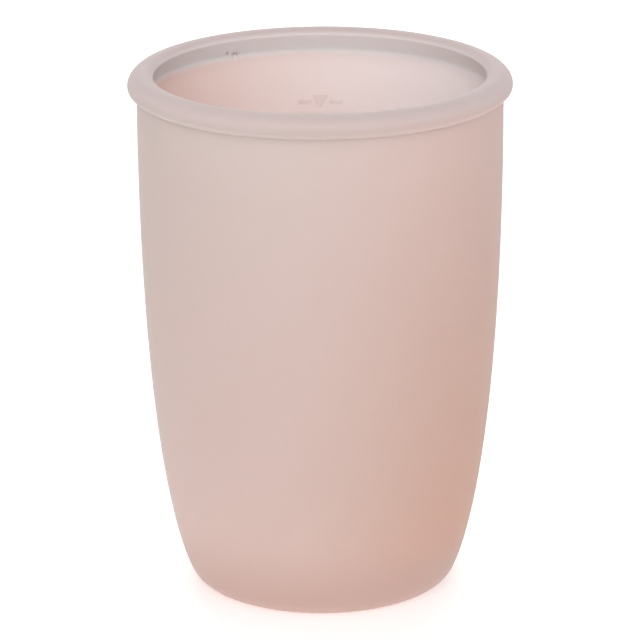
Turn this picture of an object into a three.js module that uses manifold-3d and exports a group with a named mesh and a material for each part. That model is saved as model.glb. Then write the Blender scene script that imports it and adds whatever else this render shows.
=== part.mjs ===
// Soft silicone drinking cup with a rolled rim that is stiffened by a wire hoop.
// Millimetres, +Z up. The origin is the centre of the foot ring, on the surface that the cup stands on,
// and +Y points to the side of the wall that carries the level mark.

import * as THREE from 'three';
import * as BufferGeometryUtils from 'three/addons/utils/BufferGeometryUtils.js';
import Module from 'manifold-3d';

const wasm = await Module();
wasm.setup();

// ---------------------------------------------------------------- driving dimensions

const height = 101.6;            // brim height
const rimRadius = 36.5;          // outermost reach of the rim bead

const wallThickness = 2.0;
const floorThickness = 3.2;      // at the foot ring, thinning to the wall's thickness up the side
const thickBaseHeight = 32;      // above this height the wall keeps one thickness

const footRadius = 21;           // outer edge of the flat that the cup stands on
const footWidth = 3.2;           // width of the flat foot ring
const recessDepth = 0.9;         // the underside inside the foot ring
const recessBlend = 0.9;         // radial run of the recess's sloping edge
const cornerRadius = 5.1;        // outer corner between foot and wall
const wallLean = THREE.MathUtils.degToRad(62);   // lean of the wall where it leaves the corner
const lowerPull = 3.2;           // how far the wall keeps that lean
const upperPull = new THREE.Vector2(35.0, 24.3); // what the middle of the wall bends towards
const wallTop = new THREE.Vector2(34.76, 99);    // where the wall ends, inside the bead

const beadWidth = 5.25;          // long axis of the bead's oval section
const beadThickness = 4.0;       // short axis
const beadTilt = THREE.MathUtils.degToRad(-29.4); // the oval's outer end hangs down

const hoopWireRadius = 0.9;
const encasedGap = 0.3;          // clearance between the hoop and the silicone around it
const pinHoleRadius = 0.45;      // holes that the locating pins of the mould leave
const pinHoleHeight = 97.3;      // where they open on the inner wall
const pinHoleAngles = [120.5, 240.5, 0.5];        // degrees, counter-clockwise from +X
const dimpleOffset = 3.3;        // degrees from each pin hole to the shallow dimple beside it
const dimpleHeight = 97.9;
const dimpleRadius = 0.4;
const dimpleDepth = 0.5;
const toolClearance = 1;         // how far each cutting tool starts outside the silicone

const fillHeight = 84.3;         // middle of the fill line
const fillLineWidth = 1.0;
const fillLineRelief = 0.35;
const markWidth = 9.4;           // whole level mark: a bar, a triangle and a bar
const markHeight = 2.6;
const markBase = 85.4;           // underside of the mark, just above the fill line
const markRelief = 0.35;
const markRoot = 1.0;            // how deep the mark's solids are sunk in the wall
const barThickness = 0.7;
const barShare = 0.8;            // how much of its third of the mark each bar fills

const gateRadius = 1.8;          // trimmed injection gate in the middle of the underside
const gateRelief = 0.3;

const roundSegments = 64;        // a multiple of 4, so that the true radius lies on both axes
const wallSteps = 10;
const wallBunching = 1.15;       // above 1, the wall's points crowd towards the corner
const cornerSteps = 4;
const beadSteps = 24;
const hoopSides = 8;
const toolSides = 12;

// ---------------------------------------------------------------- materials

const siliconeMaterial = new THREE.MeshStandardMaterial({
  name: 'silicone', color: 0xdcbeb8, roughness: 0.55, metalness: 0,
});
const steelMaterial = new THREE.MeshStandardMaterial({
  name: 'steel', color: 0xa9aaac, roughness: 0.35, metalness: 1,
});

// ---------------------------------------------------------------- solids

function toSolid(geometry) {
  const bare = geometry.clone();
  bare.deleteAttribute('normal');
  bare.deleteAttribute('uv');
  const merged = BufferGeometryUtils.mergeVertices(bare, 1e-4);
  return new wasm.Manifold(new wasm.Mesh({
    numProp: 3,
    vertProperties: new Float32Array(merged.attributes.position.array),
    triVerts: new Uint32Array(merged.index.array),
  }));
}

function toGeometry(solid) {
  const mesh = solid.getMesh();
  const geometry = new THREE.BufferGeometry();
  geometry.setAttribute('position', new THREE.BufferAttribute(mesh.vertProperties, 3));
  geometry.setIndex(new THREE.BufferAttribute(mesh.triVerts, 1));
  geometry.computeVertexNormals();
  return geometry;
}

// ---------------------------------------------------------------- outlines, as (radius, height)

const beadCentre = (() => {
  const halfWidth = beadWidth / 2;
  const halfThickness = beadThickness / 2;
  const reach = Math.hypot(halfWidth * Math.cos(beadTilt), halfThickness * Math.sin(beadTilt));
  const rise = Math.hypot(halfWidth * Math.sin(beadTilt), halfThickness * Math.cos(beadTilt));
  return new THREE.Vector2(rimRadius - reach, height - rise);
})();

// A point of the bead's oval: angle 0 is its outer end, 180 degrees its inner end.
function beadPoint(angle) {
  const point = new THREE.Vector2(
    (beadWidth / 2) * Math.cos(angle),
    (beadThickness / 2) * Math.sin(angle),
  );
  return point.rotateAround(new THREE.Vector2(), beadTilt).add(beadCentre);
}

const cornerCentre = new THREE.Vector2(footRadius, cornerRadius);

// The wall leaves the corner arc along its tangent, and climbs ever more steeply to the bead.
const wallCurve = (() => {
  const along = new THREE.Vector2(Math.cos(wallLean), Math.sin(wallLean));
  const outward = new THREE.Vector2(along.y, -along.x);
  const start = cornerCentre.clone().addScaledVector(outward, cornerRadius);
  const lower = start.clone().addScaledVector(along, lowerPull);
  return new THREE.CubicBezierCurve(start, lower, upperPull, wallTop);
})();

function thicknessAt(z) {
  const t = Math.max(0, 1 - z / thickBaseHeight);
  return wallThickness + (floorThickness - wallThickness) * t * t;
}

// Points of the outer skin with the skin's outward normal at each, from the foot to the bead.
function skinSamples() {
  const samples = [];
  for (let i = 0; i < cornerSteps; i += 1) {
    const angle = THREE.MathUtils.lerp(-Math.PI / 2, wallLean - Math.PI / 2, i / cornerSteps);
    const normal = new THREE.Vector2(Math.cos(angle), Math.sin(angle));
    samples.push({ point: cornerCentre.clone().addScaledVector(normal, cornerRadius), normal });
  }
  for (let i = 0; i <= wallSteps; i += 1) {
    const t = (i / wallSteps) ** wallBunching;
    const tangent = wallCurve.getTangent(t);
    samples.push({ point: wallCurve.getPoint(t), normal: new THREE.Vector2(tangent.y, -tangent.x) });
  }
  return samples;
}

function innerPoint({ point, normal }) {
  return point.clone().addScaledVector(normal, -thicknessAt(point.y));
}

// Radius of the inner wall at height z, between the samples of the skin.
function innerRadiusAt(z) {
  const inner = skinSamples().map(innerPoint);
  const upper = inner.findIndex((point) => point.y > z);
  const low = inner[upper - 1];
  const high = inner[upper];
  return THREE.MathUtils.lerp(low.x, high.x, (z - low.y) / (high.y - low.y));
}

// ---------------------------------------------------------------- cup body

// Floor, wall and foot, closed on the axis. The wall ends inside the bead.
function shellOutline() {
  const samples = skinSamples();
  const outer = samples.map(({ point }) => point);
  const inner = samples.map(innerPoint);
  const recessRadius = footRadius - footWidth - recessBlend;
  const underside = [
    new THREE.Vector2(0, recessDepth - gateRelief),
    new THREE.Vector2(gateRadius, recessDepth - gateRelief),
    new THREE.Vector2(gateRadius + gateRelief, recessDepth),
    new THREE.Vector2(recessRadius, recessDepth),
    new THREE.Vector2(recessRadius + recessBlend, 0),
  ];
  const insideFloor = new THREE.Vector2(0, inner[0].y);
  return [...underside, ...outer, ...inner.reverse(), insideFloor];
}

// The bead's oval section. Two of its corners are moved to its outermost and topmost points, so that the
// facets reach its full size.
function beadOutline() {
  const step = 2 * Math.PI / beadSteps;
  const angles = Array.from({ length: beadSteps }, (_, i) => i * step);
  const outermost = Math.atan2(-beadThickness * Math.sin(beadTilt), beadWidth * Math.cos(beadTilt));
  const topmost = Math.atan2(beadThickness * Math.cos(beadTilt), beadWidth * Math.sin(beadTilt));
  for (const extreme of [outermost, topmost]) {
    angles[Math.round(extreme / step)] = extreme;
  }
  return [...angles, angles[0]].map(beadPoint);
}

// A low ridge right round the inner wall, rooted a little way inside it.
function fillLineOutline() {
  const half = fillLineWidth / 2;
  const wall = innerRadiusAt(fillHeight);
  const crest = wall - fillLineRelief;
  const root = wall + wallThickness / 2;
  const outline = [
    new THREE.Vector2(root, fillHeight - half),
    new THREE.Vector2(root, fillHeight + half),
    new THREE.Vector2(wall, fillHeight + half),
    new THREE.Vector2(crest, fillHeight + half / 2),
    new THREE.Vector2(crest, fillHeight - half / 2),
    new THREE.Vector2(wall, fillHeight - half),
  ];
  return [...outline, outline[0].clone()];
}

function lathe(outline) {
  const geometry = new THREE.LatheGeometry(outline, roundSegments);
  return geometry.rotateX(Math.PI / 2);
}

// The mark's flat outlines, drawn about their own middle, with the angle at which each one stands.
function markShapes() {
  const third = markWidth / 3;
  const triangle = new THREE.Shape([
    new THREE.Vector2(0, 0),
    new THREE.Vector2(third / 2, markHeight),
    new THREE.Vector2(-third / 2, markHeight),
  ]);
  const barBottom = (markHeight - barThickness) / 2;
  const barReach = third * barShare / 2;
  const bar = new THREE.Shape([
    new THREE.Vector2(-barReach, barBottom),
    new THREE.Vector2(barReach, barBottom),
    new THREE.Vector2(barReach, barBottom + barThickness),
    new THREE.Vector2(-barReach, barBottom + barThickness),
  ]);
  const turn = third / innerRadiusAt(markBase);
  return [[triangle, 0], [bar, turn], [bar, -turn]];
}

function levelMark() {
  const wall = innerRadiusAt(markBase + markHeight / 2);
  return markShapes().map(([shape, turn]) => {
    const geometry = new THREE.ExtrudeGeometry(shape, { depth: markRelief + markRoot, bevelEnabled: false });
    geometry.rotateX(Math.PI / 2);
    geometry.translate(0, wall + markRoot, markBase);
    geometry.rotateZ(turn);
    return toSolid(geometry);
  });
}

// A round tool of the given radius whose axis runs from one (radius, height) point to another.
function roundTool(from, to, radius, angleDegrees) {
  const run = to.clone().sub(from);
  const geometry = new THREE.CylinderGeometry(radius, radius, run.length(), toolSides);
  geometry.rotateZ(run.angle() - Math.PI / 2);
  const middle = from.clone().add(to).multiplyScalar(0.5);
  geometry.translate(middle.x, middle.y, 0);
  geometry.rotateX(Math.PI / 2);
  geometry.rotateZ(THREE.MathUtils.degToRad(angleDegrees));
  return toSolid(geometry);
}

// Each pin reached the hoop from the inner wall just under the bead.
function pinHole(angleDegrees) {
  const mouth = new THREE.Vector2(innerRadiusAt(pinHoleHeight), pinHoleHeight);
  const along = beadCentre.clone().sub(mouth).normalize();
  const start = mouth.clone().addScaledVector(along, -toolClearance);
  return roundTool(start, beadCentre, pinHoleRadius, angleDegrees);
}

function dimple(angleDegrees) {
  const face = innerRadiusAt(dimpleHeight);
  const from = new THREE.Vector2(face - toolClearance, dimpleHeight);
  const to = new THREE.Vector2(face + dimpleDepth, dimpleHeight);
  return roundTool(from, to, dimpleRadius, angleDegrees + dimpleOffset);
}

function ringGeometry(sectionRadius) {
  return new THREE.TorusGeometry(beadCentre.x, sectionRadius, hoopSides, roundSegments);
}

function cupBody() {
  let body = toSolid(lathe(shellOutline()));
  body = body.add(toSolid(lathe(beadOutline())));
  body = body.add(toSolid(lathe(fillLineOutline())));
  for (const solid of levelMark()) {
    body = body.add(solid);
  }
  const seat = toSolid(ringGeometry(hoopWireRadius + encasedGap).translate(0, 0, beadCentre.y));
  body = body.subtract(seat);
  for (const angle of pinHoleAngles) {
    body = body.subtract(pinHole(angle));
    body = body.subtract(dimple(angle));
  }
  const mesh = new THREE.Mesh(toGeometry(body), siliconeMaterial);
  mesh.name = 'cup_body';
  return mesh;
}

// ---------------------------------------------------------------- rim hoop

function rimHoop() {
  const mesh = new THREE.Mesh(ringGeometry(hoopWireRadius), steelMaterial);
  mesh.name = 'rim_hoop';
  mesh.position.z = beadCentre.y;
  return mesh;
}

// ---------------------------------------------------------------- assembly

const cup = new THREE.Group();
cup.name = 'silicone_cup';
cup.add(cupBody());
cup.add(rimHoop());

export default cup;
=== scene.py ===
"""Soft silicone cup with a rolled rim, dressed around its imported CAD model.

The cup is turned as one fine closed skin: foot, wall, rim bead, inside and fill line. The seat of the
rim's wire hoop and the mould's pin marks are cut out of it, and the raised level mark is added to it.
The hoop is a round wire whose two ends are welded. Lengths are in millimetres until a mesh or a node is
made from them; only the studio's floor and lights are placed and sized in metres.
"""

import math

import bmesh
import bpy
from mathutils import Matrix, Vector


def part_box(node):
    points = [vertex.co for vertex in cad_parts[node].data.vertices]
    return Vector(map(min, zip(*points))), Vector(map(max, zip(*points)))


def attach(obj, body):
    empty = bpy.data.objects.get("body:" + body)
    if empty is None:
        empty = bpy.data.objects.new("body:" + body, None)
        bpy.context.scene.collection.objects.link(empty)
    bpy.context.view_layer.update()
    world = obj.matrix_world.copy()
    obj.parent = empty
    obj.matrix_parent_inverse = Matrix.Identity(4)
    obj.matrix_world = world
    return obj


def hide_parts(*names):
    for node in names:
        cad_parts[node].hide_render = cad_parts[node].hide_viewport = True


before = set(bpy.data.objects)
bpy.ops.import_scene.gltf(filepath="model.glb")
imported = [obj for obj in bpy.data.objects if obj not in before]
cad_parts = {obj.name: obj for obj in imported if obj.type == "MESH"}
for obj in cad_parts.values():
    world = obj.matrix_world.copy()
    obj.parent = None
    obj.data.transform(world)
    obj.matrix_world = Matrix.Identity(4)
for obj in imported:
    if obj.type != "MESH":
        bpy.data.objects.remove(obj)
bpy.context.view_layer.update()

MM = 0.001

# ---------------------------------------------------------------- sizes, in millimetres

body_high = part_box("cup_body")[1] / MM
hoop_low, hoop_high = (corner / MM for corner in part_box("rim_hoop"))

HEIGHT = body_high.z
RIM_RADIUS = body_high.x
WIRE_RADIUS = (hoop_high.z - hoop_low.z) / 2
BEAD_CENTRE = Vector((hoop_high.x - WIRE_RADIUS, (hoop_high.z + hoop_low.z) / 2))

WALL = 2.0
FLOOR = 3.2
THICK_BASE_HEIGHT = 32.0
FOOT_RADIUS = 21.0
FOOT_WIDTH = 3.2
RECESS_DEPTH = 0.9
RECESS_BLEND = 0.9
GATE_RADIUS = 1.8
GATE_RELIEF = 0.3
CORNER_RADIUS = 5.1
WALL_LEAN = math.radians(62)
LOWER_PULL = 3.2
UPPER_PULL = Vector((35.0, 24.3))
WALL_TOP = Vector((34.76, 99.0))
BEAD_TILT = math.radians(-29.4)
BEAD_THICKNESS = 4.0
BEAD_WIDTH = 2 * math.sqrt(
    (RIM_RADIUS - BEAD_CENTRE.x) ** 2 - (BEAD_THICKNESS / 2 * math.sin(BEAD_TILT)) ** 2
) / math.cos(BEAD_TILT)
BEAD_FILLET = 0.5
BEAD_BASE = 95.8
INNER_FILLET = 3.0
EDGE_SOFTNESS = 0.25
SOFTNESS_LIMIT = 0.4

SEAT_GAP = 0.3
PIN_HOLE_RADIUS = 0.45
PIN_HOLE_HEIGHT = 97.3
PIN_HOLE_ANGLES = (120.5, 240.5, 0.5)
DIMPLE_OFFSET = 3.3
DIMPLE_HEIGHT = 97.9
DIMPLE_RADIUS = 0.4
DIMPLE_DEPTH = 0.5
TOOL_CLEARANCE = 1.0

FILL_HEIGHT = 84.3
FILL_LINE_WIDTH = 1.0
FILL_LINE_RELIEF = 0.35
MARK_WIDTH = 9.4
MARK_HEIGHT = 2.6
MARK_BASE = 85.4
MARK_RELIEF = 0.3
MARK_ROOT = 1.0
MARK_SOFTNESS = 0.12
BAR_THICKNESS = 0.7
BAR_SHARE = 0.8

WELD_LENGTH = 2.4
WELD_SWELL = 0.08

ROUND_SEGMENTS = 240
WALL_STEPS = 84
CORNER_STEPS = 14
BEAD_STEPS = 60
RIDGE_STEPS = 14
FILLET_STEPS = 6
BEVEL_STEPS = 3
PIN_SEGMENTS = 24
SEAT_SEGMENTS = 192
SEAT_SIDES = 16
HOOP_SEGMENTS = 360
HOOP_SIDES = 20
LONGEST_STEP = 1.6
RIDGE_REACH = 0.6
HALVINGS = 40
ON_AXIS = 1e-6
FACING_UP = 0.5
SHARP_ANGLE = math.radians(35)

# ---------------------------------------------------------------- the cup's outline, as (radius, height)


def turned_vector(vector, angle):
    """A flat vector turned counter-clockwise."""
    cosine, sine = math.cos(angle), math.sin(angle)
    return Vector((vector.x * cosine - vector.y * sine, vector.x * sine + vector.y * cosine))


def bead_point(angle):
    """A point on the bead's oval section: 0 is its outer end and pi its inner end."""
    across = Vector((BEAD_WIDTH / 2 * math.cos(angle), BEAD_THICKNESS / 2 * math.sin(angle)))
    return BEAD_CENTRE + turned_vector(across, BEAD_TILT)


def in_bead_units(point):
    """The point seen from the oval's own axes, on which the oval is the unit circle."""
    local = turned_vector(point - BEAD_CENTRE, -BEAD_TILT)
    return Vector((local.x / (BEAD_WIDTH / 2), local.y / (BEAD_THICKNESS / 2)))


CORNER_CENTRE = Vector((FOOT_RADIUS, CORNER_RADIUS))
UP_THE_WALL = Vector((math.cos(WALL_LEAN), math.sin(WALL_LEAN)))
WALL_START = CORNER_CENTRE + CORNER_RADIUS * Vector((UP_THE_WALL.y, -UP_THE_WALL.x))
WALL_CONTROLS = (WALL_START, WALL_START + LOWER_PULL * UP_THE_WALL, UPPER_PULL, WALL_TOP)


def between(a, b, share):
    return a + (b - a) * share


def wall_sample(share):
    """The outer wall's point and outward normal at a share of its Bezier curve."""
    p0, p1, p2, p3 = WALL_CONTROLS
    a, b, c = between(p0, p1, share), between(p1, p2, share), between(p2, p3, share)
    d, e = between(a, b, share), between(b, c, share)
    tangent = (e - d).normalized()
    return between(d, e, share), Vector((tangent.y, -tangent.x))


def corner_sample(share):
    """The same for the corner arc, from the foot to the wall."""
    angle = between(-math.pi / 2, WALL_LEAN - math.pi / 2, share)
    normal = Vector((math.cos(angle), math.sin(angle)))
    return CORNER_CENTRE + CORNER_RADIUS * normal, normal


def inner_point(sample):
    """The inside of the cup, one wall's thickness in from a sample of its outside."""
    point, normal = sample
    thinning = max(0.0, 1 - point.y / THICK_BASE_HEIGHT)
    inside = point - normal * (WALL + (FLOOR - WALL) * thinning**2)
    from_line = abs(inside.y - FILL_HEIGHT) / (FILL_LINE_WIDTH / 2)
    if from_line < 1:
        inside.x -= FILL_LINE_RELIEF * math.cos(from_line * math.pi / 2) ** 2
    return inside


def solve_share(is_past):
    """The share of the wall's curve at which is_past turns true, by halving."""
    low, high = 0.0, 1.0
    for _ in range(HALVINGS):
        middle = (low + high) / 2
        low, high = (low, middle) if is_past(middle) else (middle, high)
    return high


def inner_radius(height):
    """The plain inner wall's radius at a height."""
    share = solve_share(lambda s: inner_point(wall_sample(s)).y > height)
    return inner_point(wall_sample(share)).x


def wall_shares(end):
    """Shares up to end, with extra ones where the fill line is."""
    shares = [end * i / WALL_STEPS for i in range(WALL_STEPS + 1)]
    ridge = [
        solve_share(lambda s: wall_sample(s)[0].y > FILL_HEIGHT + side * FILL_LINE_WIDTH * RIDGE_REACH)
        for side in (-1, 1)
    ]
    shares = [s for s in shares if not ridge[0] <= s <= ridge[1]]
    shares += [between(ridge[0], ridge[1], i / RIDGE_STEPS) for i in range(RIDGE_STEPS + 1)]
    return sorted(shares)


def without_end(points, length):
    """The line of points with its last stretch of that length taken off."""
    kept = list(points)
    while length > 0:
        last = kept.pop()
        step = (kept[-1] - last).length
        if step > length:
            kept.append(last + (kept[-1] - last) * (length / step))
        length -= step
    return kept


def joined(first, second, reach):
    """Two lines that meet at a corner, as one line with the corner rounded off."""
    corner = first[-1]
    head = without_end(first, reach)
    tail = without_end(second[::-1], reach)[::-1]
    curve = []
    for i in range(1, FILLET_STEPS):
        share = i / FILLET_STEPS
        curve.append(between(between(head[-1], corner, share), between(corner, tail[0], share), share))
    return head + curve + tail


def refined(points, longest):
    """The same line with no step longer than longest."""
    result = [points[0]]
    for start, end in zip(points, points[1:]):
        count = max(1, math.ceil((end - start).length / longest))
        result += [between(start, end, i / count) for i in range(1, count + 1)]
    return result


def underside():
    """From the trimmed gate in the middle, across the recess, to the foot ring's outer edge."""
    recess = FOOT_RADIUS - FOOT_WIDTH - RECESS_BLEND
    stops = [
        Vector((0, RECESS_DEPTH - GATE_RELIEF)),
        Vector((GATE_RADIUS, RECESS_DEPTH - GATE_RELIEF)),
        Vector((GATE_RADIUS + GATE_RELIEF, RECESS_DEPTH)),
        Vector((recess, RECESS_DEPTH)),
        Vector((recess + RECESS_BLEND, 0)),
        Vector((FOOT_RADIUS, 0)),
    ]
    line = stops[:2]
    for stop, following in zip(stops[1:], stops[2:]):
        nearest = min((following - stop).length, (stop - line[-2]).length)
        softness = min(EDGE_SOFTNESS, nearest * SOFTNESS_LIMIT)
        line = joined(line, [stop, following], softness)
    return line


def cup_outline():
    """The whole skin, from the axis underneath, over the brim, to the axis inside."""
    outer_end = solve_share(lambda s: in_bead_units(wall_sample(s)[0]).length < 1)
    inner_end = solve_share(lambda s: in_bead_units(inner_point(wall_sample(s))).length < 1)
    outer = [corner_sample(i / CORNER_STEPS)[0] for i in range(CORNER_STEPS)]
    outer += [wall_sample(s)[0] for s in wall_shares(outer_end)]
    inner = [inner_point(corner_sample(i / CORNER_STEPS)) for i in range(CORNER_STEPS)]
    inner += [inner_point(wall_sample(s)) for s in wall_shares(inner_end)]

    first = in_bead_units(outer[-1])
    last = in_bead_units(inner[-1])
    start, end = math.atan2(first.y, first.x), math.atan2(last.y, last.x) % math.tau
    bead = [bead_point(between(start, end, i / BEAD_STEPS)) for i in range(BEAD_STEPS + 1)]

    line = underside() + outer[1:]
    line = joined(line, bead, BEAD_FILLET)
    line = joined(line, inner[::-1], INNER_FILLET)
    line.append(Vector((0, inner[0].y)))
    return refined(line, LONGEST_STEP)


# ---------------------------------------------------------------- mesh helpers


def new_object(name, mesh_builder):
    """A linked mesh object, smooth shaded, whose builder fills a bmesh in millimetres."""
    mesh = bpy.data.meshes.new(name)
    bm = bmesh.new()
    mesh_builder(bm)
    bmesh.ops.scale(bm, vec=(MM, MM, MM), verts=bm.verts)
    bmesh.ops.recalc_face_normals(bm, faces=bm.faces)
    bm.to_mesh(mesh)
    bm.free()
    mesh.shade_smooth()
    piece = bpy.data.objects.new(name, mesh)
    bpy.context.scene.collection.objects.link(piece)
    return piece


def add_turned(bm, outline):
    """Turns an outline that starts and ends on the axis."""
    rings = []
    for point in outline:
        count = ROUND_SEGMENTS if point.x > ON_AXIS else 1
        angles = (math.tau * i / ROUND_SEGMENTS for i in range(count))
        places = ((point.x * math.cos(a), point.x * math.sin(a), point.y) for a in angles)
        rings.append([bm.verts.new(place) for place in places])
    for lower, upper in zip(rings, rings[1:]):
        for i in range(ROUND_SEGMENTS):
            j = (i + 1) % ROUND_SEGMENTS
            below = (lower[i % len(lower)], lower[j % len(lower)])
            above = (upper[j % len(upper)], upper[i % len(upper)])
            bm.faces.new(dict.fromkeys(below + above))


def add_ring(bm, section_radius, segments, sides):
    """A round ring in the bead's middle. section_radius gives its thickness at an angle round the axis."""
    rows = []
    for i in range(segments):
        around = math.tau * i / segments
        radius = section_radius(around)
        row = []
        for j in range(sides):
            tilt = math.tau * j / sides
            reach = BEAD_CENTRE.x + radius * math.cos(tilt)
            height = BEAD_CENTRE.y + radius * math.sin(tilt)
            row.append(bm.verts.new((reach * math.cos(around), reach * math.sin(around), height)))
        rows.append(row)
    for i in range(segments):
        here, there = rows[i], rows[(i + 1) % segments]
        for j in range(sides):
            k = (j + 1) % sides
            bm.faces.new((here[j], there[j], there[k], here[k]))


def add_pin(bm, start, end, radius, angle):
    """A round tool from one (radius, height) point to another, in the half-plane at angle degrees."""
    length = (end - start).length
    lean = math.atan2(end.y - start.y, end.x - start.x)
    middle = (start + end) / 2
    place = (
        Matrix.Rotation(math.radians(angle), 4, "Z")
        @ Matrix.Translation((middle.x, 0, middle.y))
        @ Matrix.Rotation(math.pi / 2 - lean, 4, "Y")
    )
    bmesh.ops.create_cone(
        bm,
        cap_ends=True,
        segments=PIN_SEGMENTS,
        radius1=radius,
        radius2=radius,
        depth=length,
        matrix=place,
    )


def combine(target, tool, operation):
    """Cuts the tool from the target, or joins it on, and removes the tool."""
    modifier = target.modifiers.new("combine", "BOOLEAN")
    modifier.operation = operation
    modifier.solver = "MANIFOLD"
    modifier.object = tool
    depsgraph = bpy.context.evaluated_depsgraph_get()
    mesh = bpy.data.meshes.new_from_object(target.evaluated_get(depsgraph))
    target.modifiers.clear()
    target.data = mesh
    bpy.data.objects.remove(tool)


# ---------------------------------------------------------------- cup and hoop


def mark_outlines():
    """The level mark's flat outlines, each with how far along the wall its middle lies."""
    third = MARK_WIDTH / 3
    triangle = [(0, 0), (third / 2, MARK_HEIGHT), (-third / 2, MARK_HEIGHT)]
    low = (MARK_HEIGHT - BAR_THICKNESS) / 2
    high = low + BAR_THICKNESS
    reach = third * BAR_SHARE / 2
    bar = [(-reach, low), (reach, low), (reach, high), (-reach, high)]
    return [(triangle, 0.0), (bar, -third), (bar, third)]


def add_relief(bm, outline, along):
    """One raised shape on the inside of the wall at +Y, with soft edges and bent to the wall."""
    root, front = (
        [bm.verts.new((x, y, depth)) for x, y in outline] for depth in (-MARK_ROOT, MARK_RELIEF)
    )
    count = len(outline)
    bm.faces.new(root[::-1])
    face = bm.faces.new(front)
    for i in range(count):
        j = (i + 1) % count
        bm.faces.new((root[i], root[j], front[j], front[i]))
    bmesh.ops.bevel(
        bm, geom=list(face.edges), offset=MARK_SOFTNESS, segments=BEVEL_STEPS, profile=0.5, affect="EDGES"
    )
    for vert in bm.verts:
        x, y, depth = vert.co
        height = MARK_BASE + y
        wall = inner_radius(height)
        turn = (along + x) / wall
        vert.co = Vector((math.sin(turn), math.cos(turn), 0)) * (wall - depth) + Vector((0, 0, height))


def add_seat(bm):
    """The room inside the bead that the hoop lies in."""
    add_ring(bm, lambda around: WIRE_RADIUS + SEAT_GAP, SEAT_SEGMENTS, SEAT_SIDES)


def cut_pin_marks(cup):
    """The holes of the pins that held the hoop in the mould, each with a dimple beside it."""
    mouth = Vector((inner_radius(PIN_HOLE_HEIGHT), PIN_HOLE_HEIGHT))
    start = mouth - (BEAD_CENTRE - mouth).normalized() * TOOL_CLEARANCE
    face = inner_radius(DIMPLE_HEIGHT)
    for angle in PIN_HOLE_ANGLES:
        hole = new_object("tool", lambda bm: add_pin(bm, start, BEAD_CENTRE, PIN_HOLE_RADIUS, angle))
        combine(cup, hole, "DIFFERENCE")
        ends = [Vector((face + reach, DIMPLE_HEIGHT)) for reach in (-TOOL_CLEARANCE, DIMPLE_DEPTH)]
        dimple = new_object("tool", lambda bm: add_pin(bm, *ends, DIMPLE_RADIUS, angle + DIMPLE_OFFSET))
        combine(cup, dimple, "DIFFERENCE")


def mark_facing(cup):
    """Stores how a vertex faces, from -1 outwards to 1 inwards. Below the bead it is one or the other."""
    attribute = cup.data.attributes.new("inward", "FLOAT", "POINT")
    for vert, stored in zip(cup.data.vertices, attribute.data):
        outwards = Vector((vert.co.x, vert.co.y, 0)).normalized()
        inwards = -vert.normal.dot(outwards)
        height = vert.co.z / MM
        if height < BEAD_BASE:
            is_inner = height > FLOOR / 2 and (inwards > 0 or vert.normal.z > FACING_UP)
            inwards = 1.0 if is_inner else -1.0
        stored.value = inwards


def make_cup():
    """The cup's skin with its level mark, the hoop's seat and the pin marks."""
    cup = new_object("cup", lambda bm: add_turned(bm, cup_outline()))
    for outline, along in mark_outlines():
        combine(cup, new_object("tool", lambda bm: add_relief(bm, outline, along)), "UNION")
    combine(cup, new_object("tool", add_seat), "DIFFERENCE")
    cut_pin_marks(cup)
    mark_facing(cup)
    cup.data.set_sharp_from_angle(angle=SHARP_ANGLE)
    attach(cup, "root")
    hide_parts("cup_body")
    return cup


def make_hoop():
    """The rim's wire hoop. The weld of its two ends, at -Y, is slightly swollen."""

    def wire(around):
        from_weld = abs(around - 1.5 * math.pi) * BEAD_CENTRE.x / (WELD_LENGTH / 2)
        swell = math.cos(min(from_weld, 1) * math.pi / 2) ** 2
        return WIRE_RADIUS - WELD_SWELL + WELD_SWELL * swell

    hoop = new_object("hoop_wire", lambda bm: add_ring(bm, wire, HOOP_SEGMENTS, HOOP_SIDES))
    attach(hoop, "root")
    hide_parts("rim_hoop")
    return hoop


# ---------------------------------------------------------------- materials


# Where the Mix node keeps its colour sockets: its other data types come before them.
MIX_FACTOR = 0
MIX_FIRST = 6
MIX_SECOND = 7
MIX_RESULT = 2


def linear(value):
    """One sRGB value from 0 to 255 as linear light from 0 to 1."""
    value /= 255
    return value / 12.92 if value <= 0.04045 else ((value + 0.055) / 1.055) ** 2.4


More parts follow.
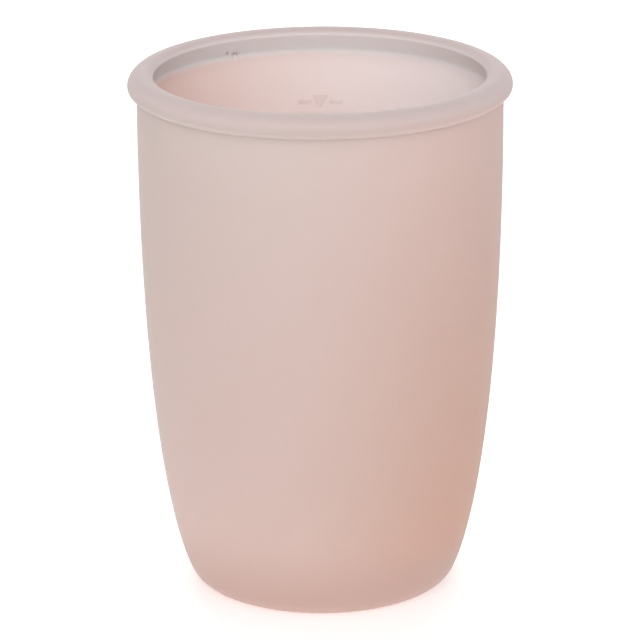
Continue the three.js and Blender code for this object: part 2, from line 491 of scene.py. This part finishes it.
class Nodes:
    """A material's node tree with short ways to add and link what the materials here need.

    In the names given to add and dress_shader, an underscore stands for a space in an input's name.
    """

    def __init__(self, name):
        self.material = bpy.data.materials.new(name)
        self.material.use_nodes = True
        self.tree = self.material.node_tree
        self.place = self.add("TexCoord").outputs["Object"]

    def feed(self, node, name, value):
        """Links a socket to a node's input, or sets the input to a plain value."""
        if isinstance(value, bpy.types.NodeSocket):
            self.tree.links.new(value, node.inputs[name])
        else:
            node.inputs[name].default_value = value

    def feed_all(self, node, inputs):
        """Feeds several inputs of a node at once."""
        for name, value in inputs.items():
            self.feed(node, name.replace("_", " "), value)

    def add(self, kind, **inputs):
        node = self.tree.nodes.new("ShaderNode" + kind)
        self.feed_all(node, inputs)
        return node

    def dress_shader(self, **inputs):
        self.feed_all(self.tree.nodes["Principled BSDF"], inputs)

    def noise(self, size, detail=3.0):
        """Noise whose blobs are about size millimetres across."""
        return self.add("TexNoise", Vector=self.place, Scale=1 / (size * MM), Detail=detail).outputs["Fac"]

    def mapped(self, value, span, to_span, smooth=False):
        """value taken from one span of numbers to another, and held at the ends."""
        ends = zip(("From_Min", "From_Max", "To_Min", "To_Max"), (*span, *to_span))
        node = self.add("MapRange", Value=value, **dict(ends))
        node.interpolation_type = "SMOOTHSTEP" if smooth else "LINEAR"
        return node.outputs["Result"]

    def mixed(self, share, *tones):
        """A colour that goes from the first tone to the second as share goes from 0 to 1."""
        node = self.tree.nodes.new("ShaderNodeMix")
        node.data_type = "RGBA"
        self.feed(node, MIX_FACTOR, share)
        for name, tone in zip((MIX_FIRST, MIX_SECOND), tones):
            if not isinstance(tone, bpy.types.NodeSocket):
                tone = (*map(linear, tone), 1.0)
            self.feed(node, name, tone)
        return node.outputs[MIX_RESULT]

    def along(self, direction, low, high, smooth=False):
        """How far a place lies from low to high millimetres along a direction: 0 to 1."""
        node = self.tree.nodes.new("ShaderNodeVectorMath")
        node.operation = "DOT_PRODUCT"
        self.feed(node, 0, self.place)
        self.feed(node, 1, direction)
        return self.mapped(node.outputs["Value"], (low * MM, high * MM), (0.0, 1.0), smooth)

    def above(self, heights):
        """0 below the lower of two heights in millimetres, 1 above the upper one, smooth between them."""
        return self.along((0, 0, 1), *heights, smooth=True)

    def bump(self, height, depth, strength, below=None):
        """Surface relief of about depth millimetres, on top of an earlier bump."""
        node = self.add("Bump", Height=height, Distance=depth * MM, Strength=strength)
        if below is not None:
            self.feed(node, "Normal", below)
        return node.outputs["Normal"]


# Tones are sRGB values from 0 to 255.
# Painted light and shade on the outer wall: greyer at the upper left where the key light falls, pinker to
# the right and below where light shines through the wall. Below, it is partly the thicker wall's own
# colour.
UPPER_LEFT_PAINTED_LIGHT_TONE = (191, 177, 172)
UPPER_RIGHT_PAINTED_LIGHT_TONE = (199, 175, 169)
LOWER_LEFT_PAINTED_LIGHT_TONE = (207, 181, 173)
LOWER_RIGHT_PAINTED_LIGHT_TONE = (194, 152, 133)
# Painted shade: the wall darkens towards the foot.
FOOT_PAINTED_SHADE_TONE = (188, 161, 153)
BEAD_TONE = (218, 201, 199)
# Painted light: near white under the bead inside the cup, against the shade below its overhang.
BEAD_UNDERSIDE_PAINTED_LIGHT_TONE = (250, 247, 246)
# Painted light: the inside is painted paler than the outside, and cooler to the right, for light the inside
# lacks.
INSIDE_LEFT_PAINTED_LIGHT_TONE = (227, 194, 185)
INSIDE_RIGHT_PAINTED_LIGHT_TONE = (238, 225, 225)
CLOUD_TONE = (200, 170, 160)

# Where one tone gives way to the next: heights and widths in millimetres, and how far a face looks inwards.
ACROSS_OUTSIDE = (-0.3 * RIM_RADIUS, RIM_RADIUS)
ACROSS_INSIDE = (-RIM_RADIUS, RIM_RADIUS)
FOOT_BAND = 18.0
BEAD_BAND = (98.2, 100.4)
# The band of painted light under the bead.
BEAD_INSIDE_BAND = (95.8, 97.8)
CREST_BAND = (100.0, 101.6)
INWARD_BAND = (0.3, 0.75)

WALL_SCATTER = 9.0
BEAD_SCATTER = 0.6
SCATTER_BAND = (97.0, 98.2)
SCATTER_RADIUS = (1.0, 1.0, 1.0)

NOISE_SPAN = (0.3, 0.7)
CLOUD_SIZE = 22.0
CLOUD_SHARE = (0.0, 0.05)
SMEAR_SIZE = 9.0
WAVE_SIZE = 12.0
WAVE_DETAIL = 1.0
WAVE_DEPTH = 0.12
WAVE_STRENGTH = 0.25
GRAIN_SIZE = 0.35
GRAIN_DEPTH = 0.012
GRAIN_STRENGTH = 0.5
SILICONE_ROUGHNESS = (0.65, 0.75)
SILICONE_IOR = 1.41
SILICONE_SPECULAR = 0.3


def outside_tone_with_painted_light(nodes):
    """Painted light and shade: greyer at the upper left where the key light falls, and warmer and pinker
    towards the base and the right side where light shines through the wall. Towards the base it is partly
    the thicker wall's own deeper colour. It darkens near the foot and pales on the bead.
    """
    across = nodes.along((1, 0, 0), *ACROSS_OUTSIDE, smooth=True)
    downwards = nodes.along((0, 0, -1), -HEIGHT, 0)
    # Painted shade: the wall darkens towards the foot.
    near_foot = nodes.along((0, 0, -1), -FOOT_BAND, 0, smooth=True)
    upper = nodes.mixed(across, UPPER_LEFT_PAINTED_LIGHT_TONE, UPPER_RIGHT_PAINTED_LIGHT_TONE)
    lower = nodes.mixed(across, LOWER_LEFT_PAINTED_LIGHT_TONE, LOWER_RIGHT_PAINTED_LIGHT_TONE)
    tone = nodes.mixed(near_foot, nodes.mixed(downwards, upper, lower), FOOT_PAINTED_SHADE_TONE)
    return nodes.mixed(nodes.above(BEAD_BAND), tone, BEAD_TONE)


def inside_tone_with_painted_light(nodes):
    """Painted light: the inside is painted paler than the outside, to stand in for light it lacks. It is
    palest under the bead, against the shade below its overhang, and meets the bead's own tone at its crest.
    """
    across = nodes.along((1, 0, 0), *ACROSS_INSIDE)
    tone = nodes.mixed(across, INSIDE_LEFT_PAINTED_LIGHT_TONE, INSIDE_RIGHT_PAINTED_LIGHT_TONE)
    # Painted light under the bead, where its overhang's shade falls.
    tone = nodes.mixed(nodes.above(BEAD_INSIDE_BAND), tone, BEAD_UNDERSIDE_PAINTED_LIGHT_TONE)
    return nodes.mixed(nodes.above(CREST_BAND), tone, BEAD_TONE)


def silicone_material():
    """Soft translucent silicone with one tone outside and another inside, both holding painted light and
    shade: the paler inside tone stands in for light the inside lacks.
    """
    nodes = Nodes("blush_silicone")
    inward = nodes.add("Attribute")
    inward.attribute_name = "inward"
    # Painted light: faces that look inwards get the paler inside tone.
    inside = nodes.mapped(inward.outputs["Fac"], INWARD_BAND, (0.0, 1.0))
    tone = nodes.mixed(inside, outside_tone_with_painted_light(nodes), inside_tone_with_painted_light(nodes))
    cloud = nodes.mapped(nodes.noise(CLOUD_SIZE), NOISE_SPAN, CLOUD_SHARE)
    scatter = (WALL_SCATTER * MM, BEAD_SCATTER * MM)
    wave = nodes.bump(nodes.noise(WAVE_SIZE, WAVE_DETAIL), WAVE_DEPTH, WAVE_STRENGTH)
    nodes.dress_shader(
        Base_Color=nodes.mixed(cloud, tone, CLOUD_TONE),
        Roughness=nodes.mapped(nodes.noise(SMEAR_SIZE), NOISE_SPAN, SILICONE_ROUGHNESS),
        IOR=SILICONE_IOR,
        Specular_IOR_Level=SILICONE_SPECULAR,
        Subsurface_Weight=1.0,
        Subsurface_Radius=SCATTER_RADIUS,
        Subsurface_Scale=nodes.mapped(nodes.above(SCATTER_BAND), (0.0, 1.0), scatter),
        Normal=nodes.bump(nodes.noise(GRAIN_SIZE), GRAIN_DEPTH, GRAIN_STRENGTH, wave),
    )
    return nodes.material


STEEL_TONE = (222, 222, 224)
STEEL_STREAK_TONE = (236, 236, 237)
STEEL_ROUGHNESS = (0.25, 0.42)
STREAK_SIZE = 0.6
STREAK_DETAIL = 5.0
STREAK_DEPTH = 0.01
STREAK_STRENGTH = 0.3


def steel_material():
    """Bright wire with fine streaks."""
    nodes = Nodes("drawn_wire")
    streak = nodes.noise(STREAK_SIZE, STREAK_DETAIL)
    nodes.dress_shader(
        Base_Color=nodes.mixed(streak, STEEL_TONE, STEEL_STREAK_TONE),
        Metallic=1.0,
        Roughness=nodes.mapped(streak, NOISE_SPAN, STEEL_ROUGHNESS),
        Normal=nodes.bump(streak, STREAK_DEPTH, STREAK_STRENGTH),
    )
    return nodes.material


FLOOR_TONE = (252, 252, 252)
SPECKLE_TONE = (253, 253, 253)
SPECKLE_SIZE = 6.0
FLOOR_GLOW = 0.4
FLOOR_ROUGHNESS = 0.9
FLOOR_SPECULAR = 0.1


def floor_material():
    """A pale sheet lit from below, like a light table, so that shadows on it stay faint."""
    nodes = Nodes("pale_floor")
    nodes.dress_shader(
        Base_Color=nodes.mixed(nodes.noise(SPECKLE_SIZE), FLOOR_TONE, SPECKLE_TONE),
        Roughness=FLOOR_ROUGHNESS,
        Specular_IOR_Level=FLOOR_SPECULAR,
        Emission_Color=(1, 1, 1, 1),
        Emission_Strength=FLOOR_GLOW,
    )
    return nodes.material


def dress(piece, material):
    """Gives the whole piece one material."""
    piece.data.materials.clear()
    piece.data.materials.append(material)
    piece.data.polygons.foreach_set("material_index", [0] * len(piece.data.polygons))


# ---------------------------------------------------------------- studio


FLOOR_SIZE = 6.0


def make_floor():
    mesh = bpy.data.meshes.new("floor")
    half = FLOOR_SIZE / 2
    corners = [(-half, -half, 0), (half, -half, 0), (half, half, 0), (-half, half, 0)]
    mesh.from_pydata(corners, [], [(0, 1, 2, 3)])
    floor = bpy.data.objects.new("floor", mesh)
    floor.data.materials.append(floor_material())
    bpy.context.scene.collection.objects.link(floor)


def softbox(name, place, size, power):
    """A square area light that faces the cup's middle."""
    light = bpy.data.lights.new(name, "AREA")
    light.size = size
    light.energy = power
    lamp = bpy.data.objects.new(name, light)
    lamp.location = place
    aim = Vector((0, 0, HEIGHT / 2 * MM)) - Vector(place)
    lamp.rotation_euler = aim.to_track_quat("-Z", "Y").to_euler()
    bpy.context.scene.collection.objects.link(lamp)


# The world's light: how strong it is at most, what share of it is left to the left, to the right and
# overhead, and the X or Z of the unit direction at which it has fallen that far.
WORLD_STRENGTH = 1.25
WORLD_LEFT = 0.38
WORLD_RIGHT = 0.42
WORLD_TOP = 0.5
WORLD_EDGE = 0.75
OVERHEAD = 1.0


def make_world():
    """Even white light from all round that falls off towards the two sides and overhead."""
    world = bpy.data.worlds.new("studio")
    world.use_nodes = True
    nodes = world.node_tree.nodes
    links = world.node_tree.links
    background = nodes["Background"]
    background.inputs["Color"].default_value = (1, 1, 1, 1)
    split = nodes.new("ShaderNodeSeparateXYZ")
    links.new(nodes.new("ShaderNodeTexCoord").outputs["Generated"], split.inputs["Vector"])
    level = nodes.new("ShaderNodeValue")
    level.outputs["Value"].default_value = WORLD_STRENGTH
    strength = level.outputs["Value"]
    falls = (
        ("X", -WORLD_EDGE, WORLD_LEFT),
        ("X", WORLD_EDGE, WORLD_RIGHT),
        ("Z", OVERHEAD, WORLD_TOP),
    )
    for axis, end, low in falls:
        fall = nodes.new("ShaderNodeMapRange")
        fall.interpolation_type = "SMOOTHSTEP"
        links.new(split.outputs[axis], fall.inputs["Value"])
        for name, value in (("From Min", 0.0), ("From Max", end), ("To Min", 1.0), ("To Max", low)):
            fall.inputs[name].default_value = value
        product = nodes.new("ShaderNodeMath")
        product.operation = "MULTIPLY"
        links.new(fall.outputs["Result"], product.inputs[0])
        links.new(strength, product.inputs[1])
        strength = product.outputs["Value"]
    links.new(strength, background.inputs["Strength"])
    bpy.context.scene.world = world


# Each light's name, its place and size in metres, and its power in watts.
SOFTBOXES = (
    ("key_softbox", (-0.15, -1.2, 0.5), 0.8, 5.0),
    ("top_softbox", (0.0, 0.2, 1.4), 1.0, 1.5),
    ("back_softbox", (0.0, 1.2, 0.9), 1.2, 5.0),
)
DIFFUSE_BOUNCES = 12


def light_studio():
    for light in SOFTBOXES:
        softbox(*light)
    make_world()
    bpy.context.scene.view_settings.view_transform = "Standard"
    bpy.context.scene.cycles.diffuse_bounces = DIFFUSE_BOUNCES


CAMERA_PITCH = math.radians(17.476)
CAMERA_ROLL = math.radians(-0.35)
CAMERA_DISTANCE = 876.0
CAMERA_SIDESTEP = -0.28
AIM_HEIGHT = 51.85
LENS = 256.2
SENSOR_WIDTH = 36.0


def make_camera():
    data = bpy.data.cameras.new("camera")
    data.lens = LENS
    data.sensor_width = SENSOR_WIDTH
    camera = bpy.data.objects.new("camera", data)
    back = Vector((0, -math.cos(CAMERA_PITCH), math.sin(CAMERA_PITCH))) * CAMERA_DISTANCE
    place = (Vector((CAMERA_SIDESTEP, 0, AIM_HEIGHT)) + back) * MM
    turn = Matrix.Rotation(math.pi / 2 - CAMERA_PITCH, 4, "X") @ Matrix.Rotation(CAMERA_ROLL, 4, "Z")
    camera.matrix_world = Matrix.Translation(place) @ turn
    bpy.context.scene.collection.objects.link(camera)
    bpy.context.scene.camera = camera


make_camera()
light_studio()
make_floor()
dress(make_cup(), silicone_material())
dress(make_hoop(), steel_material())
